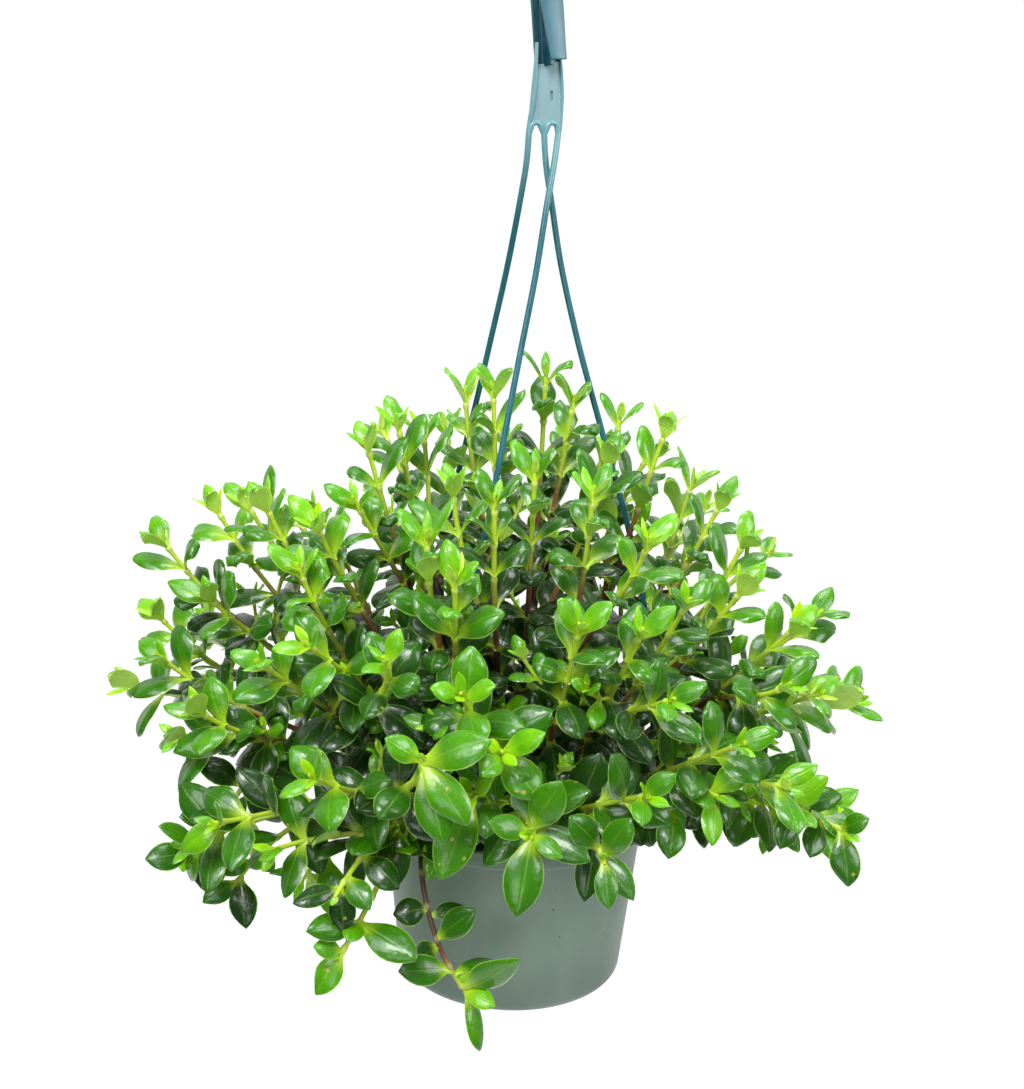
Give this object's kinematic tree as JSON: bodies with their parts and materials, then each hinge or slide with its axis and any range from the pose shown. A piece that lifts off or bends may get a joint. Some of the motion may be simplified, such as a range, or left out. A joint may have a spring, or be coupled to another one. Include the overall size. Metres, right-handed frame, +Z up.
{
  "type": "potted goldfish plant",
  "caption": "Trailing house plant with glossy paired leaves in a round plastic pot, hung from a hook by a three-legged clip-on hanger.",
  "frame": {"origin": "centre of the pot's flat underside", "axes": "+Z up the pot's axis towards the hook, +Y to the back of the plant, -Y to its front"},
  "size_m": [0.4162, 0.365, 0.5917],
  "materials": {
    "pot": "moulded grey-green polypropylene, satin",
    "soil": "moist peat potting mix, rough",
    "hanger": "moulded teal polypropylene, satin gloss",
    "foliage": "thick glossy leaves on green and brown stems"
  },
  "bodies": {
    "root": {"pot": "pot", "soil": "soil", "hanger": "hanger", "stem_01": "foliage", "stem_02": "foliage", "stem_03": "foliage", "stem_04": "foliage", "stem_05": "foliage", "stem_06": "foliage", "stem_07": "foliage", "stem_08": "foliage", "stem_09": "foliage", "stem_10": "foliage", "stem_11": "foliage", "stem_12": "foliage", "stem_13": "foliage", "stem_14": "foliage", "stem_15": "foliage", "stem_16": "foliage", "stem_17": "foliage", "stem_18": "foliage", "stem_19": "foliage", "stem_20": "foliage", "stem_21": "foliage", "stem_22": "foliage", "stem_23": "foliage", "stem_24": "foliage", "stem_25": "foliage", "stem_26": "foliage", "stem_27": "foliage", "stem_28": "foliage", "stem_29": "foliage", "stem_30": "foliage", "stem_31": "foliage", "stem_32": "foliage", "stem_33": "foliage", "stem_34": "foliage", "stem_35": "foliage", "stem_36": "foliage", "stem_37": "foliage", "stem_38": "foliage", "stem_39": "foliage", "stem_40": "foliage", "stem_41": "foliage", "stem_42": "foliage", "stem_43": "foliage", "stem_44": "foliage", "stem_45": "foliage", "stem_46": "foliage", "stem_47": "foliage", "stem_48": "foliage", "stem_49": "foliage", "stem_50": "foliage", "stem_51": "foliage", "stem_52": "foliage"}
  },
  "joints": []
}
